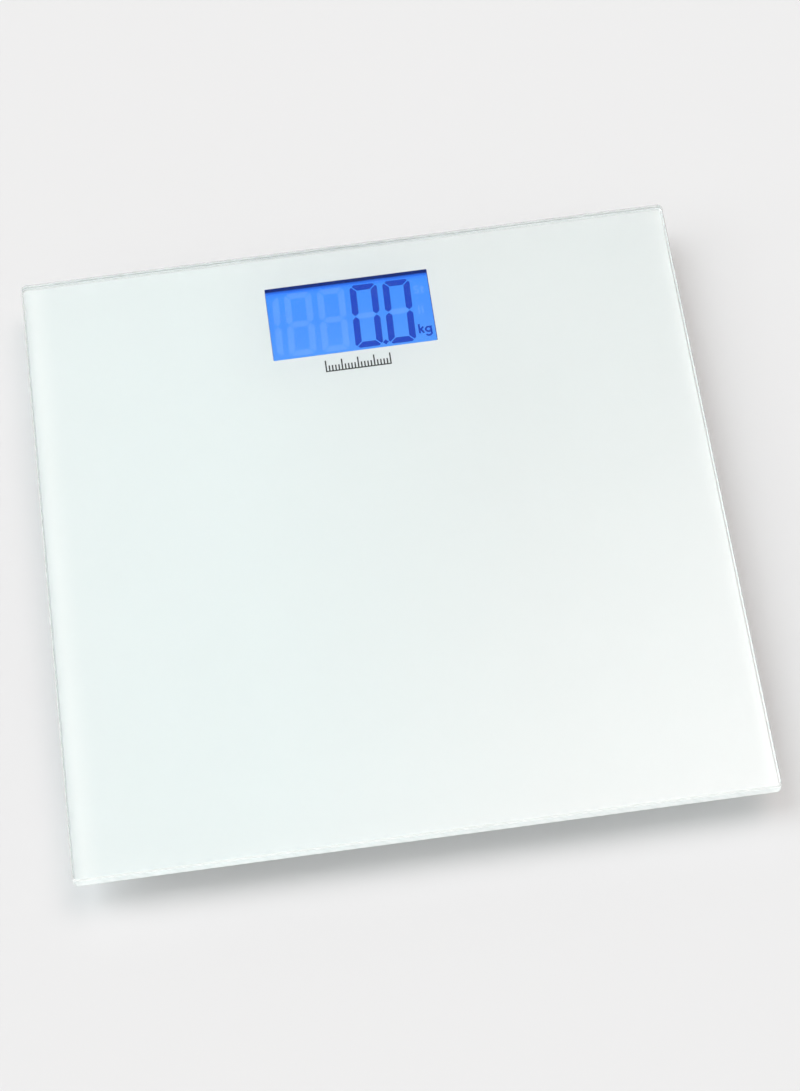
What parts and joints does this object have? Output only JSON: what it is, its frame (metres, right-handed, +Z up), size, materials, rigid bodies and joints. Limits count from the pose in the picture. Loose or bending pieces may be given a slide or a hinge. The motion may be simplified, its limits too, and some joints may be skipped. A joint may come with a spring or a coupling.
{
  "type": "digital bathroom scale",
  "caption": "Square white glass platform scale with a blue backlit segment display, load-cell feet at its corners and an electronics pod with a battery door underneath.",
  "frame": {"origin": "on the floor under the middle of the platform", "axes": "+X to the right of a person standing on the scale, +Y towards the display edge, +Z up"},
  "size_m": [0.3, 0.3, 0.024],
  "materials": {
    "platform_glass": "polished",
    "white_lacquer": "gloss",
    "dark_ink": "matte",
    "black_foam": "matte",
    "polariser": "satin",
    "display_glass": "polished",
    "seal_epoxy": "matte",
    "segment_lit": "satin",
    "segment_unlit": "satin",
    "blue_diffuser": "lit from below",
    "clear_acrylic": "polished",
    "reflector_film": "gloss",
    "lamp_body": "gloss",
    "white_plastic": "satin",
    "zebra_rubber": "matte",
    "board_green": "satin",
    "chip_resin": "satin",
    "component_body": "matte",
    "screw_steel": "zinc plated",
    "solder": "bright",
    "switch_black": "matte",
    "button_grey": "satin",
    "foam_tape": "matte",
    "pod_plastic": "fine spark texture",
    "label_film": "satin",
    "battery_jacket": "printed jacket",
    "contact_nickel": "nickel plated",
    "wire_grey": "satin",
    "wire_red": "satin",
    "wire_black": "satin",
    "wire_white": "satin",
    "clip_plastic": "satin",
    "gauge_sealant": "satin",
    "foot_plastic": "fine spark texture",
    "cell_steel": "nickel plated",
    "cap_plastic": "satin",
    "foot_rubber": "matte"
  },
  "bodies": {
    "platform": {"backlight_diffuser": "blue_diffuser", "backlight_leds": "lamp_body", "backlight_light_guide": "clear_acrylic", "backlight_reflector": "reflector_film", "battery_back": "battery_jacket", "battery_front": "battery_jacket", "battery_leads": "wire_grey", "board_components": "component_body", "board_screws": "screw_steel", "circuit_board": "board_green", "contact_bridge": "contact_nickel", "contact_negative": "contact_nickel", "contact_positive": "contact_nickel", "controller_chip": "chip_resin", "cover_screws": "screw_steel", "display_gasket": "black_foam", "foot_housing_back_left": "foot_plastic", "foot_housing_back_right": "foot_plastic", "foot_housing_front_left": "foot_plastic", "foot_housing_front_right": "foot_plastic", "foot_tapes": "foam_tape", "glass_platform": "platform_glass", "lcd_frame": "white_plastic", "lcd_front_glass": "display_glass", "lcd_front_polariser": "polariser", "lcd_lit_segments": "segment_lit", "lcd_rear_glass": "display_glass", "lcd_rear_polariser": "polariser", "lcd_seal": "seal_epoxy", "lcd_unlit_segments": "segment_unlit", "lead_clips": "clip_plastic", "lead_solder_joints": "solder", "lead_wires_black": "wire_black", "lead_wires_red": "wire_red", "lead_wires_white": "wire_white", "load_cell_back_left": "cell_steel", "load_cell_back_right": "cell_steel", "load_cell_front_left": "cell_steel", "load_cell_front_right": "cell_steel", "pod_cover": "pod_plastic", "pod_shell": "pod_plastic", "pod_tape": "foam_tape", "rating_label": "label_film", "strain_gauges": "gauge_sealant", "tick_mark_print": "dark_ink", "unit_switch": "switch_black", "white_back_print": "white_lacquer", "zebra_connector": "zebra_rubber"},
    "battery_door": {"battery_door": "pod_plastic"},
    "unit_button": {"unit_button": "button_grey", "unit_switch_plunger": "switch_black"},
    "foot_front_left": {"foot_cap_front_left": "cap_plastic", "foot_pad_front_left": "foot_rubber"},
    "foot_front_right": {"foot_cap_front_right": "cap_plastic", "foot_pad_front_right": "foot_rubber"},
    "foot_back_left": {"foot_cap_back_left": "cap_plastic", "foot_pad_back_left": "foot_rubber"},
    "foot_back_right": {"foot_cap_back_right": "cap_plastic", "foot_pad_back_right": "foot_rubber"}
  },
  "joints": [
    {"name": "foot_front_left_slide", "type": "slide", "parent": "platform", "child": "foot_front_left", "axis": [0, 0, 1], "range_m": [-0.0008, 0]},
    {"name": "foot_front_right_slide", "type": "slide", "parent": "platform", "child": "foot_front_right", "axis": [0, 0, 1], "range_m": [-0.0008, 0]},
    {"name": "foot_back_left_slide", "type": "slide", "parent": "platform", "child": "foot_back_left", "axis": [0, 0, 1], "range_m": [-0.0008, 0]},
    {"name": "foot_back_right_slide", "type": "slide", "parent": "platform", "child": "foot_back_right", "axis": [0, 0, 1], "range_m": [-0.0008, 0]},
    {"name": "battery_door_hinge", "type": "hinge", "parent": "platform", "child": "battery_door", "pos_m": [0, 0.082, 0.0046], "axis": [1, 0, 0], "range_deg": [0, 85]},
    {"name": "unit_button_press", "type": "slide", "parent": "platform", "child": "unit_button", "axis": [0, 0, 1], "range_m": [0, 0.0005], "stiffness_N_per_m": 3000}
  ]
}
